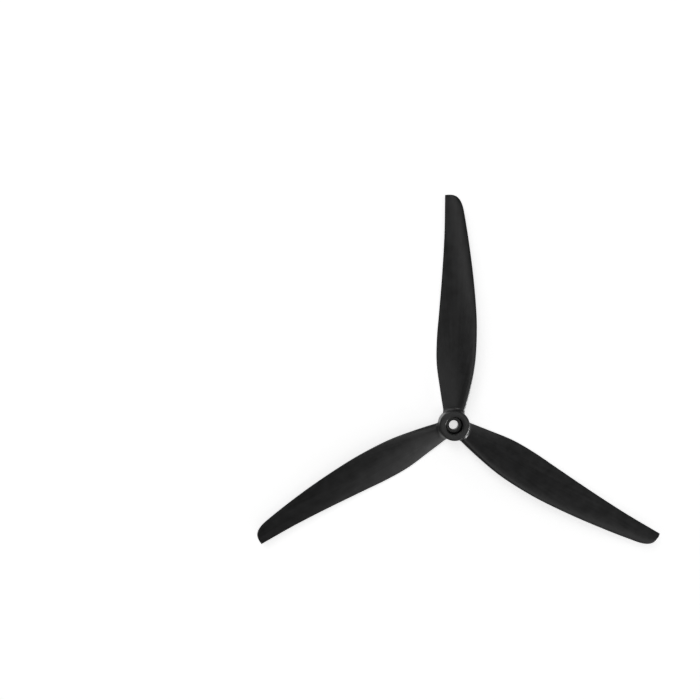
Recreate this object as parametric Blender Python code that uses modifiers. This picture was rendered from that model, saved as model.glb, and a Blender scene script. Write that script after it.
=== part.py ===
"""Three-blade propeller for a multirotor: a hub, three blades and a shaft adapter ring.

Metres, +Z along the shaft towards the front. The origin is on the shaft's axis, halfway up the hub.
Seen from the front the propeller turns clockwise, so each blade's leading edge is on its clockwise side.
"""

import math

import bmesh
import bpy

MM = 0.001

# Driving dimensions
DIAMETER = 254 * MM
BLADE_COUNT = 3
FIRST_BLADE_ANGLE = math.radians(90)
FIT_GAP = 0.3 * MM

# Hub
HUB_DIAMETER = 16.8 * MM
HUB_HEIGHT = 9.4 * MM
HUB_FRONT_RADIUS = 0.8 * MM
HUB_BACK_RADIUS = 1.2 * MM
SOCKET_DIAMETER = 9.5 * MM
SOCKET_FLOOR = 1.2 * MM
FLOOR_HOLE_DIAMETER = 6.0 * MM
MOUTH_CHAMFER = 0.4 * MM

# Shaft adapter ring
BORE_DIAMETER = 5.2 * MM
RING_HEIGHT = 4.2 * MM
RING_CHAMFER = 0.35 * MM

# Blade stations: radius, leading edge, trailing edge and thickness in millimetres, blade angle in degrees.
# The edges are distances from the blade's radial line, measured flat in the plane of rotation.
TIP_RADIUS = DIAMETER / 2
ROOT_RADIUS = HUB_DIAMETER / 2 + FIT_GAP
BLADE_STATIONS = (
    (ROOT_RADIUS / MM, 5.5, 5.1, 3.2, 25.0),
    (20, 8.8, 6.9, 3.0, 25.3),
    (34, 11.4, 8.6, 2.6, 22.9),
    (48, 12.4, 8.4, 2.3, 21.2),
    (62, 12.4, 7.2, 2.0, 19.4),
    (84, 10.9, 5.4, 1.6, 14.8),
    (106, 8.3, 4.1, 1.3, 10.6),
    (TIP_RADIUS / MM, 4.9, 3.7, 1.0, 8.5),
)
LEADING, TRAILING, THICKNESS, ANGLE = 1, 2, 3, 4
CAMBER = 0.02
TRAILING_EDGE_THICKNESS = 0.5 * MM
ROOT_BLEND_RADIUS = 22 * MM
FILLET_RADIUS = 2.0 * MM
FILLET_EDGE_SHARE = 0.35
BLADE_DROP = 0.4 * MM
TIP_BEND_START = 84 * MM
TIP_BEND = 1.2 * MM
TIP_CORNER_START = 117 * MM
TIP_CORNER_DEPTH = 6.0 * MM
TIP_CORNER_POWER = 2.6

# Fineness of the meshes
TURN_STEPS = 96
ARC_STEPS = 5
CHORD_POINTS = 15
FILLET_STEPS = 6
SPAN_STEPS = 30
TIP_STEPS = 9
MERGE_DISTANCE = 0.01 * MM

# Looks, colours as linear values
NYLON_BLACK = (0.022, 0.022, 0.023, 1.0)
RING_BLACK = (0.016, 0.016, 0.017, 1.0)
NYLON_ROUGHNESS = 0.45
RING_ROUGHNESS = 0.5
SHARP_ANGLE = math.radians(35)


def clear_scene():
    for old in list(bpy.data.objects):
        bpy.data.objects.remove(old, do_unlink=True)


def make_material(name, colour, roughness):
    material = bpy.data.materials.new(name)
    material.use_nodes = True
    shader = material.node_tree.nodes["Principled BSDF"]
    shader.inputs["Base Color"].default_value = colour
    shader.inputs["Roughness"].default_value = roughness
    shader.inputs["Metallic"].default_value = 0.0
    return material


def place(name, mesh, material, collection, parent):
    piece = bpy.data.objects.new(name, mesh)
    collection.objects.link(piece)
    piece.parent = parent
    if not mesh.materials:
        mesh.materials.append(material)
    return piece


def arc(centre_x, centre_z, radius, start, end):
    """Points on a quarter-round, angles in degrees from +X towards +Z."""
    angles = [math.radians(start + (end - start) * i / ARC_STEPS) for i in range(ARC_STEPS + 1)]
    return [(centre_x + radius * math.cos(a), centre_z + radius * math.sin(a)) for a in angles]


def turn(name, profile):
    """Closed profile of (x, z) points, taken down its outer side, turned about Z into a mesh."""
    outline = bpy.data.meshes.new(name + "_profile")
    count = len(profile)
    points = [(x, 0.0, z) for x, z in profile]
    edges = [(i, (i + 1) % count) for i in range(count)]
    outline.from_pydata(points, edges, [])
    lathe = bpy.data.objects.new(name + "_lathe", outline)
    bpy.context.scene.collection.objects.link(lathe)
    screw = lathe.modifiers.new("turn", "SCREW")
    screw.axis = "Z"
    screw.angle = 2 * math.pi
    screw.steps = TURN_STEPS
    screw.render_steps = TURN_STEPS
    screw.use_merge_vertices = True
    screw.merge_threshold = MERGE_DISTANCE
    depsgraph = bpy.context.evaluated_depsgraph_get()
    mesh = bpy.data.meshes.new_from_object(lathe.evaluated_get(depsgraph))
    mesh.name = name
    bpy.data.objects.remove(lathe, do_unlink=True)
    bpy.data.meshes.remove(outline)
    mesh.shade_smooth()
    mesh.set_sharp_from_angle(angle=SHARP_ANGLE)
    return mesh


def hub_mesh():
    """Round boss with rounded rims, a socket open at the front and a smaller hole through its floor."""
    outer = HUB_DIAMETER / 2
    top = HUB_HEIGHT / 2
    socket = SOCKET_DIAMETER / 2
    hole = FLOOR_HOLE_DIAMETER / 2
    floor = -top + SOCKET_FLOOR
    front, back = HUB_FRONT_RADIUS, HUB_BACK_RADIUS
    profile = [(socket + MOUTH_CHAMFER, top)]
    profile += arc(outer - front, top - front, front, 90, 0)
    profile += arc(outer - back, back - top, back, 0, -90)
    profile += [
        (hole + MOUTH_CHAMFER, -top),
        (hole, -top + MOUTH_CHAMFER),
        (hole, floor),
        (socket, floor),
        (socket, top - MOUTH_CHAMFER),
    ]
    return turn("hub", profile)


def ring_mesh():
    """Adapter ring with chamfered edges, seated on the socket's floor. Its bore fits a 5 mm shaft."""
    outer = SOCKET_DIAMETER / 2 - FIT_GAP
    bore = BORE_DIAMETER / 2
    low = -HUB_HEIGHT / 2 + SOCKET_FLOOR + FIT_GAP
    high = low + RING_HEIGHT
    cut = RING_CHAMFER
    profile = [
        (bore + cut, high),
        (outer - cut, high),
        (outer, high - cut),
        (outer, low + cut),
        (outer - cut, low),
        (bore + cut, low),
        (bore, low + cut),
        (bore, high - cut),
    ]
    return turn("shaft_adapter_ring", profile)


def station_slope(index, column):
    """Slope of one station column at a station, from its neighbours on either side."""
    before = BLADE_STATIONS[max(index - 1, 0)]
    after = BLADE_STATIONS[min(index + 1, len(BLADE_STATIONS) - 1)]
    return (after[column] - before[column]) / (after[0] - before[0])


def along_blade(radius, column):
    """Smooth value of one station column at a radius in metres."""
    at = radius / MM
    index = 0
    while index < len(BLADE_STATIONS) - 2 and at > BLADE_STATIONS[index + 1][0]:
        index += 1
    start, end = BLADE_STATIONS[index], BLADE_STATIONS[index + 1]
    span = end[0] - start[0]
    t = (at - start[0]) / span
    rise = end[column] - start[column]
    slope_in = station_slope(index, column) * span
    slope_out = station_slope(index + 1, column) * span
    bend = (1 - t) * (slope_in - rise) - t * (slope_out - rise)
    return start[column] + rise * t + t * (1 - t) * bend


def leading_edge(radius):
    """Leading edge with its rounded corner at the tip."""
    edge = along_blade(radius, LEADING) * MM
    if radius > TIP_CORNER_START:
        reach = min((radius - TIP_CORNER_START) / (TIP_RADIUS - TIP_CORNER_START), 1.0)
        rest = (1 - reach ** TIP_CORNER_POWER) ** (1 / TIP_CORNER_POWER)
        edge -= TIP_CORNER_DEPTH * (1 - rest)
    return edge


def fillet_swell(radius):
    """How far the root's fillet stands out from the blade's front and back at a radius."""
    away = min(radius - HUB_DIAMETER / 2, FILLET_RADIUS)
    return FILLET_RADIUS - math.sqrt(FILLET_RADIUS ** 2 - (FILLET_RADIUS - away) ** 2)


def half_thickness(u):
    """Half the section's thickness at u along the chord, as a share of the full thickness."""
    return 5 * (0.2969 * math.sqrt(u) - 0.1260 * u - 0.3516 * u ** 2 + 0.2843 * u ** 3 - 0.1036 * u ** 4)


def blade_section(radius):
    """Points round the airfoil at one radius: over the front face to the trailing edge and back beneath.

    The section lies flat across the blade, and near the root it wraps round the hub.
    """
    swell = fillet_swell(radius)
    flare = swell * FILLET_EDGE_SHARE
    lead = leading_edge(radius) + flare
    trail = -along_blade(radius, TRAILING) * MM - flare
    thickness = along_blade(radius, THICKNESS) * MM + 2 * swell
    angle = math.radians(along_blade(radius, ANGLE))
    chord = (lead - trail) / math.cos(angle)
    bend = max(radius - TIP_BEND_START, 0.0) / (TIP_RADIUS - TIP_BEND_START)
    lift = TIP_BEND * bend ** 2 - BLADE_DROP
    blend = min((radius - ROOT_RADIUS) / (ROOT_BLEND_RADIUS - ROOT_RADIUS), 1.0)
    wrap = 1 - blend * blend * (3 - 2 * blend)

    def point(u, side):
        mean = 4 * CAMBER * chord * u * (1 - u)
        skin = thickness * half_thickness(u) + (TRAILING_EDGE_THICKNESS / 2 + flare) * u
        height = mean + side * skin
        across = lead - u * (lead - trail) - height * math.sin(angle)
        up = lift + (lead - u * (lead - trail)) * math.tan(angle) + height * math.cos(angle)
        inward = radius - math.sqrt(radius ** 2 - across ** 2)
        return (radius - wrap * inward, -across, up)

    stations = [(1 - math.cos(math.pi * i / (CHORD_POINTS - 1))) / 2 for i in range(CHORD_POINTS)]
    front = [point(u, 1) for u in stations]
    back = [point(u, -1) for u in reversed(stations[1:])]
    return front + back


def cap(shape, ring):
    """Close one end of the loft, from the leading edge to the trailing edge."""
    count = len(ring)
    shape.faces.new((ring[0], ring[1], ring[count - 1]))
    for i in range(1, CHORD_POINTS - 1):
        shape.faces.new((ring[i], ring[i + 1], ring[count - i - 1], ring[count - i]))


def blade_mesh():
    """Twisted, cambered blade lofted along +X, leading edge towards -Y."""
    fillet_end = HUB_DIAMETER / 2 + FILLET_RADIUS
    radii = [ROOT_RADIUS + (fillet_end - ROOT_RADIUS) * (i / FILLET_STEPS) ** 2 for i in range(FILLET_STEPS)]
    radii += [fillet_end + (TIP_CORNER_START - fillet_end) * i / SPAN_STEPS for i in range(SPAN_STEPS)]
    turns = [math.pi / 2 * i / TIP_STEPS for i in range(TIP_STEPS + 1)]
    radii += [TIP_CORNER_START + (TIP_RADIUS - TIP_CORNER_START) * math.sin(a) for a in turns]
    shape = bmesh.new()
    rings = [[shape.verts.new(p) for p in blade_section(radius)] for radius in radii]
    count = len(rings[0])
    for inner, outer in zip(rings, rings[1:]):
        for i in range(count):
            j = (i + 1) % count
            shape.faces.new((inner[i], inner[j], outer[j], outer[i]))
    cap(shape, rings[0])
    cap(shape, rings[-1])
    bmesh.ops.recalc_face_normals(shape, faces=shape.faces)
    mesh = bpy.data.meshes.new("blade")
    shape.to_mesh(mesh)
    shape.free()
    mesh.shade_smooth()
    mesh.set_sharp_from_angle(angle=SHARP_ANGLE)
    return mesh


def build():
    clear_scene()
    collection = bpy.data.collections.new("propeller")
    bpy.context.scene.collection.children.link(collection)
    axis = bpy.data.objects.new("shaft_axis", None)
    collection.objects.link(axis)
    nylon = make_material("glass_filled_nylon", NYLON_BLACK, NYLON_ROUGHNESS)
    insert = make_material("adapter_nylon", RING_BLACK, RING_ROUGHNESS)
    place("hub", hub_mesh(), nylon, collection, axis)
    place("shaft_adapter_ring", ring_mesh(), insert, collection, axis)
    blade = blade_mesh()
    for index in range(BLADE_COUNT):
        piece = place(f"blade_{index + 1}", blade, nylon, collection, axis)
        piece.rotation_euler.z = FIRST_BLADE_ANGLE - index * 2 * math.pi / BLADE_COUNT


build()
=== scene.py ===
# %% [markdown]
# # A moulded multirotor propeller
#
# The measured model gives the sizes: a hub, three blades and a loose ring that adapts the hub to a shaft.
# It keeps a hairline gap between hub and blades, because each is a solid of its own there. On the real
# object they are one moulding, and each blade grows out of the hub through a soft fillet. This lesson
# makes that one moulding, its ring, their nylon and a small white studio.

# %% Load the measured model
import math

import bmesh
import bpy
from mathutils import Matrix, Vector


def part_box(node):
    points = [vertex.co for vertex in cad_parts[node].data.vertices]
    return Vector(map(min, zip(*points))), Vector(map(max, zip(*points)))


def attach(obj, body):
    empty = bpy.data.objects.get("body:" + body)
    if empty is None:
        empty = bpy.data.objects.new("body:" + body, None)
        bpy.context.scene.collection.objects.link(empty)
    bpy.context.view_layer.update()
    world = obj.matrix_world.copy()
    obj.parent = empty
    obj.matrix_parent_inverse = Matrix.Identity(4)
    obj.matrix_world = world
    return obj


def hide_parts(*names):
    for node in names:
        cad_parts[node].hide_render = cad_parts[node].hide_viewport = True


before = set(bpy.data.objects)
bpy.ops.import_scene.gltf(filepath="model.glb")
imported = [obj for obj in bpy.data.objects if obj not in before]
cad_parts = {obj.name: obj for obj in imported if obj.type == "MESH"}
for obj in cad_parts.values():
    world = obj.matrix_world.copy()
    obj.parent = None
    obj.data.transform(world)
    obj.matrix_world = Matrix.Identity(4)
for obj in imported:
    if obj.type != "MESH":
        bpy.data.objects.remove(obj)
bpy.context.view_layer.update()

MM = 0.001
print("nodes:", sorted(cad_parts))

# %% [markdown]
# ## Sizes read from the measured model
#
# The hub and the ring are turned shapes, so their boxes already hold their radius and height. Reading them
# here keeps the new pieces exactly where the measured ones are.

# %% Read the hub's and the ring's sizes
hub_low, hub_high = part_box("hub")
ring_low, ring_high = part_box("shaft_adapter_ring")
HUB_RADIUS = hub_high[0]
HUB_BACK, HUB_FRONT = hub_low[2], hub_high[2]
RING_RADIUS = ring_high[0]
RING_BACK, RING_FRONT = ring_low[2], ring_high[2]
TIP_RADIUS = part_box("blade_1")[1][1]
print("radius of hub, ring and tip in mm:", [round(r / MM, 2) for r in (HUB_RADIUS, RING_RADIUS, TIP_RADIUS)])

# %% [markdown]
# ## Helpers for turned shapes
#
# A turned shape is a closed outline spun once round the shaft's axis. Its rims start sharp and are then
# rounded with the bevel operator, which is easier to read and to change than arcs drawn into the outline.

# %% Spin an outline and round its rims
TURN_STEPS = 192
SEAM_WIDTH = 0.001 * MM
RIM_TOLERANCE = 0.01 * MM
SHARP_DEGREES = 35


def turned(outline):
    """Closed outline of (radius, height) points, spun once round Z."""
    shape = bmesh.new()
    points = [shape.verts.new((radius, 0, height)) for radius, height in outline]
    edges = [shape.edges.new((a, b)) for a, b in zip(points, points[1:] + points[:1])]
    bmesh.ops.spin(
        shape, geom=points + edges, axis=(0, 0, 1), cent=(0, 0, 0),
        steps=TURN_STEPS, angle=2 * math.pi, use_merge=True,
    )
    bmesh.ops.remove_doubles(shape, verts=shape.verts, dist=SEAM_WIDTH)
    bmesh.ops.recalc_face_normals(shape, faces=shape.faces)
    return shape


def round_rim(shape, radius, height, size, segments):
    """Bevel the circle of edges at one radius and height."""
    def on_rim(vert):
        near = abs(math.hypot(vert.co.x, vert.co.y) - radius) < RIM_TOLERANCE
        return near and abs(vert.co.z - height) < RIM_TOLERANCE

    rim = [edge for edge in shape.edges if all(on_rim(vert) for vert in edge.verts)]
    bmesh.ops.bevel(
        shape, geom=rim, offset=size, affect="EDGES", segments=segments, profile=0.5, material=-1,
    )


def finish_piece(name, shape, sharp_degrees=SHARP_DEGREES):
    """Turn a bmesh into a smooth-shaded object at the origin."""
    mesh = bpy.data.meshes.new(name)
    shape.to_mesh(mesh)
    shape.free()
    mesh.shade_smooth()
    mesh.set_sharp_from_angle(angle=math.radians(sharp_degrees))
    piece = bpy.data.objects.new(name, mesh)
    bpy.context.scene.collection.objects.link(piece)
    return piece


print("steps round a turned shape:", TURN_STEPS)

# %% [markdown]
# ## Hub
#
# The hub is a plain boss: flat front and back, rounded outer rims, a socket in front for the ring and a
# smaller hole through the socket's floor. It could be cut from a cylinder, but spinning its outline makes
# wall, socket and hole at once. The rims catch the light as thin lines, so they get enough segments to shade
# softly. The wall has several rows of faces, because the union further on fails with tall, narrow ones.

# %% Turn the hub
SOCKET_RADIUS = 4.75 * MM
FLOOR_HOLE_RADIUS = 3.0 * MM
SOCKET_FLOOR = HUB_BACK + 1.2 * MM
FRONT_ROUND = 0.8 * MM
BACK_ROUND = 1.2 * MM
MOUTH_ROUND = 0.4 * MM
RIM_SEGMENTS, EDGE_SEGMENTS = 6, 3
WALL_ROWS = 5


def make_hub():
    wall = [HUB_FRONT + (HUB_BACK - HUB_FRONT) * i / WALL_ROWS for i in range(WALL_ROWS + 1)]
    outline = [(SOCKET_RADIUS, HUB_FRONT)]
    outline += [(HUB_RADIUS, height) for height in wall]
    outline += [
        (FLOOR_HOLE_RADIUS, HUB_BACK),
        (FLOOR_HOLE_RADIUS, SOCKET_FLOOR),
        (SOCKET_RADIUS, SOCKET_FLOOR),
    ]
    shape = turned(outline)
    round_rim(shape, HUB_RADIUS, HUB_FRONT, FRONT_ROUND, RIM_SEGMENTS)
    round_rim(shape, HUB_RADIUS, HUB_BACK, BACK_ROUND, RIM_SEGMENTS)
    round_rim(shape, SOCKET_RADIUS, HUB_FRONT, MOUTH_ROUND, EDGE_SEGMENTS)
    round_rim(shape, FLOOR_HOLE_RADIUS, HUB_BACK, MOUTH_ROUND, EDGE_SEGMENTS)
    return finish_piece("hub_boss", shape)


hub = make_hub()
print("hub faces:", len(hub.data.polygons))

# %% [markdown]
# ## Blades
#
# A propeller blade is a wing that twists: steep at the hub, flat at the tip. It could be a flat plate bent
# with modifiers, but then its section would be wrong everywhere. Instead one loop of points, the wing
# section at the root, is extruded outwards ring by ring, and each new ring is set to the section there. A few
# stations shape the whole blade, and a smooth curve through them gives every value in between. The edges are
# distances from the blade's radial line, measured flat in the plane that the propeller turns in. The first
# station is where the measured blade starts, a hairline gap away from the hub.

# %% Describe the blade
ROOT_GAP_MM = 0.3
# Radius, leading edge, trailing edge and thickness in millimetres, blade angle in degrees
BLADE_STATIONS = (
    (HUB_RADIUS / MM + ROOT_GAP_MM, 5.5, 5.1, 3.2, 25.0),
    (20, 8.8, 6.9, 3.0, 25.3),
    (34, 11.4, 8.6, 2.6, 22.9),
    (48, 12.4, 8.4, 2.3, 21.2),
    (62, 12.4, 7.2, 2.0, 19.4),
    (84, 10.9, 5.4, 1.6, 14.8),
    (106, 8.3, 4.1, 1.3, 10.6),
    (TIP_RADIUS / MM, 4.9, 3.7, 1.0, 8.5),
)
RADIUS, LEADING, TRAILING, THICKNESS, ANGLE = range(5)


def slope(index, column):
    """Slope of one station column at a station, from its neighbours on either side."""
    before = BLADE_STATIONS[max(index - 1, 0)]
    after = BLADE_STATIONS[min(index + 1, len(BLADE_STATIONS) - 1)]
    return (after[column] - before[column]) / (after[RADIUS] - before[RADIUS])


def along_blade(radius, column):
    """Smooth value of one station column at a radius."""
    at = max(radius / MM, BLADE_STATIONS[0][RADIUS])
    index = 0
    while index < len(BLADE_STATIONS) - 2 and at > BLADE_STATIONS[index + 1][RADIUS]:
        index += 1
    start, end = BLADE_STATIONS[index], BLADE_STATIONS[index + 1]
    span = end[RADIUS] - start[RADIUS]
    t = (at - start[RADIUS]) / span
    rise = end[column] - start[column]
    leave, arrive = slope(index, column) * span - rise, rise - slope(index + 1, column) * span
    return start[column] + rise * t + t * (1 - t) * ((1 - t) * leave + t * arrive)


print("blade angle from root to tip:", [station[ANGLE] for station in BLADE_STATIONS])

# %% [markdown]
# The section at each radius is a classic wing section: a round nose, a little camber, and a blunt trailing
# edge, because a mould can't fill a sharp one. Close to the hub it swells like a fillet, meets the hub's wall
# almost at a tangent and wraps round that wall. At the tip the leading edge draws back in a rounded corner,
# and the whole tip bends up slightly. The blade's radial line lies a little below the middle of the hub.

# %% Draw the wing section
CHORD_STEPS = 28
CAMBER = 0.02
TRAILING_EDGE = 0.5 * MM
BLADE_DROP = 0.42 * MM
TIP_BEND_START, TIP_BEND = 84 * MM, 1.2 * MM
TIP_CORNER_START, TIP_CORNER_DEPTH, TIP_CORNER_POWER = 117 * MM, 6.0 * MM, 2.6
WRAP_RADIUS = 22 * MM
FILLET = 2.0 * MM
FILLET_EDGE_SHARE = 0.35
FILLET_START = HUB_RADIUS - 0.15 * MM


def fillet_swell(radius):
    """How far the fillet stands out from the blade's skin at a radius. Deep in the hub there is none."""
    away = radius - FILLET_START
    if away < 0 or away > FILLET:
        return 0.0
    return FILLET - math.sqrt(FILLET ** 2 - (FILLET - away) ** 2)


def tip_corner(radius):
    """How far the leading edge draws back in the rounded corner at the tip."""
    reach = (radius - TIP_CORNER_START) / (TIP_RADIUS - TIP_CORNER_START)
    reach = min(max(reach, 0.0), 1.0)
    return TIP_CORNER_DEPTH * (1 - (1 - reach ** TIP_CORNER_POWER) ** (1 / TIP_CORNER_POWER))


def root_wrap(radius):
    """1 where the section wraps round the hub's wall, fading to 0 further out."""
    t = min(max((radius - HUB_RADIUS) / (WRAP_RADIUS - HUB_RADIUS), 0.0), 1.0)
    return 1 - t * t * (3 - 2 * t)


def half_thickness(u):
    """Half the thickness at a share u of the chord, by the textbook law for four-digit wing sections."""
    return 5 * (0.2969 * math.sqrt(u) - 0.1260 * u - 0.3516 * u ** 2 + 0.2843 * u ** 3 - 0.1036 * u ** 4)


def section(radius):
    """Points round the wing section: over the front from leading to trailing edge, and back beneath."""
    swell = fillet_swell(radius)
    flare = swell * FILLET_EDGE_SHARE
    lead = along_blade(radius, LEADING) * MM + flare - tip_corner(radius)
    trail = -along_blade(radius, TRAILING) * MM - flare
    thick = along_blade(radius, THICKNESS) * MM + 2 * swell
    angle = math.radians(along_blade(radius, ANGLE))
    chord = (lead - trail) / math.cos(angle)
    bend = max(radius - TIP_BEND_START, 0.0) / (TIP_RADIUS - TIP_BEND_START)
    lift = TIP_BEND * bend ** 2 - BLADE_DROP
    wrap = root_wrap(radius)

    def point(u, side):
        flat = lead - u * (lead - trail)
        skin = thick * half_thickness(u) + (TRAILING_EDGE / 2 + flare) * u
        height = 4 * CAMBER * chord * u * (1 - u) + side * skin
        across = flat - height * math.sin(angle)
        up = lift + flat * math.tan(angle) + height * math.cos(angle)
        inward = radius - math.sqrt(radius ** 2 - across ** 2)
        return Vector((radius - wrap * inward, -across, up))

    shares = [(1 - math.cos(math.pi * i / CHORD_STEPS)) / 2 for i in range(CHORD_STEPS + 1)]
    return [point(u, 1) for u in shares] + [point(u, -1) for u in reversed(shares[1:])]


print("points round a section:", len(section(WRAP_RADIUS)))

# %% [markdown]
# The extruded rings are close together where the shape changes fast: in the fillet and round the tip's
# corner. The first ring lies inside the hub, so that blade and hub overlap and can be joined.

# %% Extrude the blades from their root sections
BURIED = 1.0 * MM
FIRST_RING_DEPTH = 0.06 * MM
FILLET_RINGS, FILLET_CROWDING = 10, 1.5
SPAN_RINGS, TIP_RINGS = 56, 14
BLADE_COUNT, FIRST_BLADE_DEGREES = 3, 90


def spread(start, end, shares):
    """Radii between two radii, at the given shares of the way."""
    return [start + (end - start) * share for share in shares]


fillet_end = FILLET_START + FILLET
fillet_shares = [(i / FILLET_RINGS) ** FILLET_CROWDING for i in range(FILLET_RINGS + 1)]
span_shares = [i / SPAN_RINGS for i in range(1, SPAN_RINGS + 1)]
tip_shares = [math.sin(math.pi / 2 * i / TIP_RINGS) for i in range(1, TIP_RINGS + 1)]
blade_radii = [HUB_RADIUS - BURIED]
blade_radii += spread(HUB_RADIUS - FIRST_RING_DEPTH, fillet_end, fillet_shares)
blade_radii += spread(fillet_end, TIP_CORNER_START, span_shares)
blade_radii += spread(TIP_CORNER_START, TIP_RADIUS, tip_shares)


def make_blade(name, turn):
    shape = bmesh.new()
    loop = [shape.verts.new(point) for point in section(blade_radii[0])]
    edges = [shape.edges.new((a, b)) for a, b in zip(loop, loop[1:] + loop[:1])]
    bmesh.ops.holes_fill(shape, edges=edges)
    for radius in blade_radii[1:]:
        made = bmesh.ops.extrude_edge_only(shape, edges=edges)["geom"]
        fresh = {item for item in made if isinstance(item, bmesh.types.BMVert)}
        loop = [next(e.other_vert(v) for e in v.link_edges if e.other_vert(v) in fresh) for v in loop]
        for vert, point in zip(loop, section(radius)):
            vert.co = point
        edges = [item for item in made if isinstance(item, bmesh.types.BMEdge) and set(item.verts) <= fresh]
    bmesh.ops.holes_fill(shape, edges=edges)
    bmesh.ops.rotate(shape, verts=shape.verts, cent=(0, 0, 0), matrix=Matrix.Rotation(turn, 3, "Z"))
    bmesh.ops.recalc_face_normals(shape, faces=shape.faces)
    return finish_piece(name, shape)


blades = []
for index in range(BLADE_COUNT):
    degrees = FIRST_BLADE_DEGREES - index * 360 / BLADE_COUNT
    blades.append(make_blade(f"blade_solid_{index + 1}", math.radians(degrees)))
print("blade faces:", len(blades[0].data.polygons))

# %% [markdown]
# ## One moulding
#
# Hub and blades come out of the same mould shot, so they are joined into one closed skin. Bridging their
# edges by hand would need matching numbers of points, so a Boolean union does it. The buried root of each
# blade disappears inside the hub, and only the fillet shows. The union leaves some slivers where the two
# skins cross, and merging points that almost touch takes them away.

# %% Join hub and blades
SLIVER = 0.01 * MM
MOULDING_SHARP_DEGREES = 32


def join_moulding(base, parts):
    for part in parts:
        union = base.modifiers.new("union", "BOOLEAN")
        union.operation = "UNION"
        union.solver = "EXACT"
        union.object = part
    depsgraph = bpy.context.evaluated_depsgraph_get()
    mesh = bpy.data.meshes.new_from_object(base.evaluated_get(depsgraph))
    for solid in [base] + parts:
        bpy.data.objects.remove(solid, do_unlink=True)
    shape = bmesh.new()
    shape.from_mesh(mesh)
    bpy.data.meshes.remove(mesh)
    bmesh.ops.remove_doubles(shape, verts=shape.verts, dist=SLIVER)
    bmesh.ops.triangulate(shape, faces=[face for face in shape.faces if len(face.verts) > 4])
    return finish_piece("propeller_moulding", shape, MOULDING_SHARP_DEGREES)


moulding = join_moulding(hub, blades)
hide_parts("hub", "blade_1", "blade_2", "blade_3")
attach(moulding, "propeller")
print("moulding faces:", len(moulding.data.polygons))

# %% [markdown]
# ## Shaft adapter ring
#
# The ring is a small separate moulding, pushed into the socket to suit one shaft size. Its edges are
# rounded, and a fine groove runs round its front face. A tube with a groove cut into it would do too, but the
# helpers for turned shapes make all of it from one outline.

# %% Turn the ring
BORE_RADIUS = 2.6 * MM
RING_EDGE = 0.35 * MM
GROOVE_DEPTH = 0.3 * MM
GROOVE_INNER, GROOVE_OUTER = 3.7 * MM, 4.0 * MM


def make_ring():
    outline = [
        (BORE_RADIUS, RING_FRONT),
        (GROOVE_INNER, RING_FRONT),
        (GROOVE_INNER, RING_FRONT - GROOVE_DEPTH),
        (GROOVE_OUTER, RING_FRONT - GROOVE_DEPTH),
        (GROOVE_OUTER, RING_FRONT),
        (RING_RADIUS, RING_FRONT),
        (RING_RADIUS, RING_BACK),
        (BORE_RADIUS, RING_BACK),
    ]
    shape = turned(outline)
    for radius in (BORE_RADIUS, RING_RADIUS):
        for height in (RING_FRONT, RING_BACK):
            round_rim(shape, radius, height, RING_EDGE, EDGE_SEGMENTS)
    return finish_piece("adapter_ring_moulding", shape)


ring = make_ring()
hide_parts("shaft_adapter_ring")
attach(ring, "adapter_ring")
print("ring faces:", len(ring.data.polygons))

# %% [markdown]
# ## Colours and nodes
#
# Colours are written as the sRGB hex values a picture editor shows, and one function turns them to the
# linear values that Blender calculates with. One small function adds a node, sets it and links it, and it
# shares the part that fills in a node's inputs with the shader that each new material already has.

# %% Colour and node helpers


def linear(hex_colour):
    """Linear RGBA values of an sRGB hex colour, by the two-part law of that standard."""
    parts = [int(hex_colour[i:i + 2], 16) / 255 for i in (1, 3, 5)]
    return [c / 12.92 if c <= 0.04045 else ((c + 0.055) / 1.055) ** 2.4 for c in parts] + [1.0]


def feed(tree, node, inputs):
    """Give each named input of a node a value, or the socket that feeds it."""
    for name, value in inputs.items():
        if isinstance(value, bpy.types.NodeSocket):
            tree.links.new(value, node.inputs[name])
        else:
            node.inputs[name].default_value = value


def add(tree, kind, inputs, **settings):
    """Add a node with its settings and feed its inputs."""
    node = tree.nodes.new(kind)
    for name, value in settings.items():
        setattr(node, name, value)
    feed(tree, node, inputs)
    return node


def new_material(name):
    material = bpy.data.materials.new(name)
    material.use_nodes = True
    tree = material.node_tree
    return material, tree, tree.nodes["Principled BSDF"]


def per_size(size):
    """Texture scale whose features are about this size in metres."""
    return 1 / size


print("mid grey in linear light:", round(linear("#808080")[0], 3))

# %% [markdown]
# ## Glass-filled nylon
#
# The blades are nylon with short glass fibres, moulded in a lightly textured tool. To the eye that is a
# satin black that is never quite even: soft mottling where the melt cooled, faint flow streaks that run
# out from the hub along the blades, and a fine grain that breaks up the highlights. An image could be painted
# for it, but noise on the piece's own coordinates needs no unwrapping and has the same scale everywhere. The
# streaks come first: noise whose coordinates are the radius and the angle round the hub.

# %% Draw the flow streaks
STREAK_LENGTH = 40 * MM
STREAKS_PER_RADIAN = 60


def flow_streaks(tree, place):
    """Noise drawn out along the blades."""
    axes = add(tree, "ShaderNodeSeparateXYZ", {"Vector": place}).outputs
    turn = add(tree, "ShaderNodeMath", {0: axes["Y"], 1: axes["X"]}, operation="ARCTAN2").outputs[0]
    flat = add(tree, "ShaderNodeCombineXYZ", {"X": axes["X"], "Y": axes["Y"]}).outputs[0]
    radius = add(tree, "ShaderNodeVectorMath", {0: flat}, operation="LENGTH").outputs["Value"]
    lengths = {0: radius, 1: per_size(STREAK_LENGTH)}
    along = add(tree, "ShaderNodeMath", lengths, operation="MULTIPLY").outputs[0]
    round_hub = add(tree, "ShaderNodeMath", {0: turn, 1: STREAKS_PER_RADIAN}, operation="MULTIPLY").outputs[0]
    flow = add(tree, "ShaderNodeCombineXYZ", {"X": along, "Y": round_hub}).outputs[0]
    streaks = {"Vector": flow, "Scale": 1.0, "Detail": 2.0, "Distortion": 0.6}
    return add(tree, "ShaderNodeTexNoise", streaks).outputs["Fac"]


print("streak length in mm:", round(STREAK_LENGTH / MM))

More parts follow.
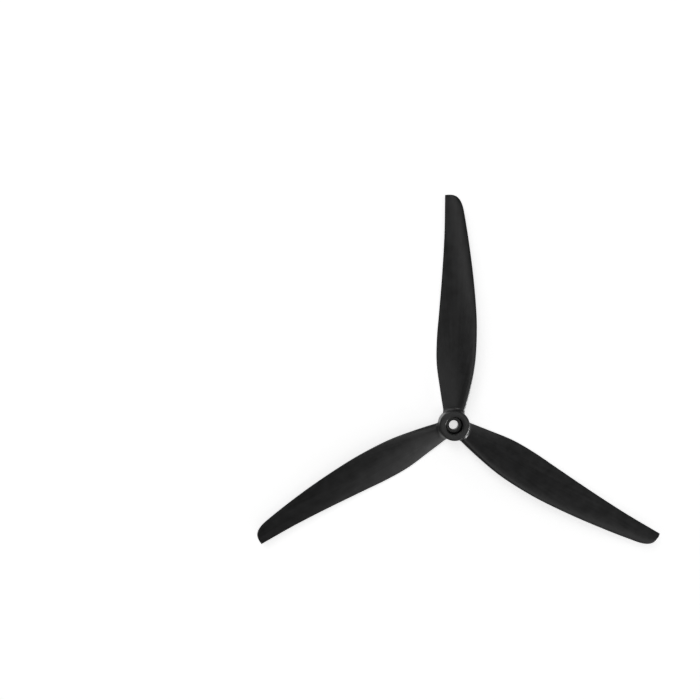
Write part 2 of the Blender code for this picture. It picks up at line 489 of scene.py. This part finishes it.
# %% [markdown]
# Streaks and mottling together move the colour and the roughness a little, and the grain is a shallow bump.
# The grain is finer than a pixel on the real part, so it is drawn at 0.7 mm to show.

# %% Make the glass-filled nylon
NYLON_IOR = 1.53
MOTTLE, GRAIN = 5 * MM, 0.7 * MM
STREAK_SHARE = 0.4
UNEVEN_LOW, UNEVEN_HIGH = 0.3, 0.7
SMOOTHEST, ROUGHEST = 0.27, 0.41
GRAIN_STRENGTH, GRAIN_DEPTH = 0.45, 0.03 * MM


def glass_filled_nylon():
    """Moulded nylon with short glass fibres: satin, near black and softly uneven."""
    material, tree, shader = new_material("satin_glass_filled_nylon")
    place = add(tree, "ShaderNodeTexCoord", {}).outputs["Object"]
    clouds = {"Vector": place, "Scale": per_size(MOTTLE), "Detail": 4.0, "Roughness": 0.6}
    mottle = add(tree, "ShaderNodeTexNoise", clouds).outputs["Fac"]
    streaks = flow_streaks(tree, place)
    uneven = add(tree, "ShaderNodeMix", {"Factor": STREAK_SHARE, "A": mottle, "B": streaks}).outputs["Result"]
    colour = add(tree, "ShaderNodeValToRGB", {"Fac": uneven})
    dark, pale = colour.color_ramp.elements
    dark.position, dark.color = UNEVEN_LOW, linear("#0c0c0c")
    pale.position, pale.color = UNEVEN_HIGH, linear("#222223")
    rough = add(tree, "ShaderNodeMapRange", {
        "Value": uneven, "From Min": UNEVEN_LOW, "From Max": UNEVEN_HIGH,
        "To Min": SMOOTHEST, "To Max": ROUGHEST,
    })
    specks = {"Vector": place, "Scale": per_size(GRAIN), "Detail": 2.0}
    grain = add(tree, "ShaderNodeTexNoise", specks).outputs["Fac"]
    bump = add(tree, "ShaderNodeBump", {"Height": grain, "Strength": GRAIN_STRENGTH, "Distance": GRAIN_DEPTH})
    feed(tree, shader, {
        "Base Color": colour.outputs["Color"],
        "Roughness": rough.outputs["Result"],
        "Normal": bump.outputs["Normal"],
        "IOR": NYLON_IOR,
    })
    return material


moulding.data.materials.clear()
moulding.data.materials.append(glass_filled_nylon())
print("material:", moulding.data.materials[0].name)

# %% [markdown]
# ## Unfilled nylon
#
# The ring is nylon without glass, so it has no streaks and no grain, only a soft cloudiness. One noise for
# colour and roughness is enough for that.

# %% Make the unfilled nylon
CLOUD = 3 * MM
RING_SMOOTHEST, RING_ROUGHEST = 0.3, 0.45


def unfilled_nylon():
    """Plain moulded nylon: an even satin black."""
    material, tree, shader = new_material("unfilled_nylon")
    place = add(tree, "ShaderNodeTexCoord", {}).outputs["Object"]
    clouds = {"Vector": place, "Scale": per_size(CLOUD), "Detail": 3.0}
    cloud = add(tree, "ShaderNodeTexNoise", clouds).outputs["Fac"]
    colour = add(tree, "ShaderNodeValToRGB", {"Fac": cloud})
    dark, pale = colour.color_ramp.elements
    dark.color = linear("#1b1b1b")
    pale.color = linear("#232324")
    span = {"Value": cloud, "To Min": RING_SMOOTHEST, "To Max": RING_ROUGHEST}
    rough = add(tree, "ShaderNodeMapRange", span)
    feed(tree, shader, {
        "Base Color": colour.outputs["Color"],
        "Roughness": rough.outputs["Result"],
        "IOR": NYLON_IOR,
    })
    return material


ring.data.materials.clear()
ring.data.materials.append(unfilled_nylon())
print("material:", ring.data.materials[0].name)

# %% [markdown]
# ## Studio
#
# The propeller lies on its hub's back on white studio paper. The paper is almost burnt out, so only soft,
# faint shadows are left on it. A glow of its own stands in for the strong light that this takes, because
# black plastic would mirror such a light.

# %% Lay the paper
PAPER_SIZE = 12.0
PAPER_GLOW = 0.64
PAPER_FIBRE = 2 * MM


def studio_paper():
    """Uncoated white paper: matt, with a faint cloud of fibres."""
    material, tree, shader = new_material("studio_paper")
    place = add(tree, "ShaderNodeTexCoord", {}).outputs["Object"]
    fibres = {"Vector": place, "Scale": per_size(PAPER_FIBRE), "Detail": 3.0}
    fibre = add(tree, "ShaderNodeTexNoise", fibres).outputs["Fac"]
    colour = add(tree, "ShaderNodeValToRGB", {"Fac": fibre})
    dark, pale = colour.color_ramp.elements
    dark.color = linear("#f4f4f4")
    pale.color = linear("#f8f8f8")
    feed(tree, shader, {
        "Base Color": colour.outputs["Color"],
        "Roughness": 0.9,
        "Specular IOR Level": 0.1,
        "Emission Color": (1, 1, 1, 1),
        "Emission Strength": PAPER_GLOW,
    })
    return material


def lay_paper():
    shape = bmesh.new()
    bmesh.ops.create_grid(shape, x_segments=1, y_segments=1, size=PAPER_SIZE / 2)
    bmesh.ops.translate(shape, verts=shape.verts, vec=(0, 0, HUB_BACK))
    paper = finish_piece("studio_paper", shape)
    paper.data.materials.append(studio_paper())


lay_paper()
print("paper width in metres:", PAPER_SIZE)

# %% [markdown]
# ## Room
#
# Black plastic shows mostly what it reflects, so the studio is a dim room with a pale horizon. A sky that is
# bright all over would be simpler, but the blades would turn grey in it, and all three would look alike.

# %% Set the room
ROOM_DIM, HORIZON_GLOW, GLOW_HEIGHT = 0.13, 0.7, 0.4


def set_room():
    world = bpy.data.worlds.new("white_studio")
    bpy.context.scene.world = world
    world.use_nodes = True
    tree = world.node_tree
    look = add(tree, "ShaderNodeTexCoord", {}).outputs["Generated"]
    height = add(tree, "ShaderNodeSeparateXYZ", {"Vector": look}).outputs["Z"]
    level = add(tree, "ShaderNodeMapRange", {
        "Value": height, "From Min": 0.0, "From Max": GLOW_HEIGHT, "To Min": HORIZON_GLOW, "To Max": ROOM_DIM,
    })
    feed(tree, tree.nodes["Background"], {"Color": (1, 1, 1, 1), "Strength": level.outputs["Result"]})


set_room()
print("room:", bpy.context.scene.world.name)

# %% [markdown]
# ## Light
#
# Each soft panel stands where some part of the propeller mirrors it to the camera: overhead for the hub's
# face, high on the right for the tip of the right-hand blade, behind for the outer half of the blade that
# points up, on the left for that blade's root, and in front for the blade that points left. A wide panel at
# the side and a small bright one, low on the right, make the crescent where the right-hand blade leaves the
# hub. The small one shows only in reflections, because on the paper it would draw a hard line.

# %% Hang the panels
LIGHT_DISTANCE = 1.2


def facing(place, aim, turn):
    """Matrix of a camera or lamp at a place that looks at an aim, its width turned from +X."""
    back = (place - aim).normalized()
    up = back.cross(Vector((math.cos(turn), math.sin(turn), 0))).normalized()
    return Matrix.Translation(place) @ Matrix((up.cross(back), up, back)).transposed().to_4x4()


def soft_box(name, azimuth, elevation, width, height, radiance, on_paper=True):
    """Rectangular area light that faces the hub. Its power follows from how bright its face looks."""
    turn, rise = math.radians(azimuth), math.radians(elevation)
    level = math.cos(rise)
    place = LIGHT_DISTANCE * Vector((level * math.cos(turn), level * math.sin(turn), math.sin(rise)))
    lamp = bpy.data.lights.new(name, "AREA")
    lamp.shape = "RECTANGLE"
    lamp.size, lamp.size_y = width, height
    lamp.energy = radiance * math.pi * width * height
    light = bpy.data.objects.new(name, lamp)
    light.matrix_world = facing(place, Vector((0, 0, 0)), turn + math.pi / 2)
    light.visible_diffuse = on_paper
    bpy.context.scene.collection.objects.link(light)


# Azimuth and elevation in degrees, width and height in metres, then how bright the face looks
soft_box("ceiling_box", 0, 84, 0.4, 0.4, 1.0)
soft_box("right_box", 318, 64, 0.5, 0.45, 0.85)
soft_box("back_high_box", 114, 60, 0.4, 0.4, 1.9)
soft_box("back_box", 120, 42, 0.5, 0.45, 2.5)
soft_box("left_box", 196, 36, 0.5, 0.6, 0.7)
soft_box("front_box", 302, 30, 0.5, 0.45, 0.5)
soft_box("side_box", 358, 16, 0.5, 0.35, 1.9)
soft_box("low_box", 332, 7, 0.4, 0.25, 52, on_paper=False)
print("panels:", len(bpy.data.lights))

# %% [markdown]
# ## Camera
#
# The picture was taken from straight above, a little to the left of the hub and turned by half a degree,
# with a wide lens from about a third of a metre. The blades' edges in the picture give these values: the
# low edges and the high edges shift against each other as the lens sees them. The standard view shows white
# paper and black nylon as they are calculated, without the softer contrast of Blender's own default.

# %% Place the camera
CAMERA_PLACE = Vector((-43.7, 47.5, 334.8)) * MM
CAMERA_AIM = Vector((-57.1, 42.1, 0)) * MM
CAMERA_ROLL = math.radians(-0.58)
LENS_MM, SENSOR_MM = 30.9, 36


def place_camera():
    lens = bpy.data.cameras.new("camera")
    lens.lens = LENS_MM
    lens.sensor_width = SENSOR_MM
    camera = bpy.data.objects.new("camera", lens)
    camera.matrix_world = facing(CAMERA_PLACE, CAMERA_AIM, CAMERA_ROLL)
    bpy.context.scene.collection.objects.link(camera)
    bpy.context.scene.camera = camera


place_camera()
bpy.context.scene.view_settings.view_transform = "Standard"
print("camera distance in mm:", round((CAMERA_PLACE - CAMERA_AIM).length / MM))
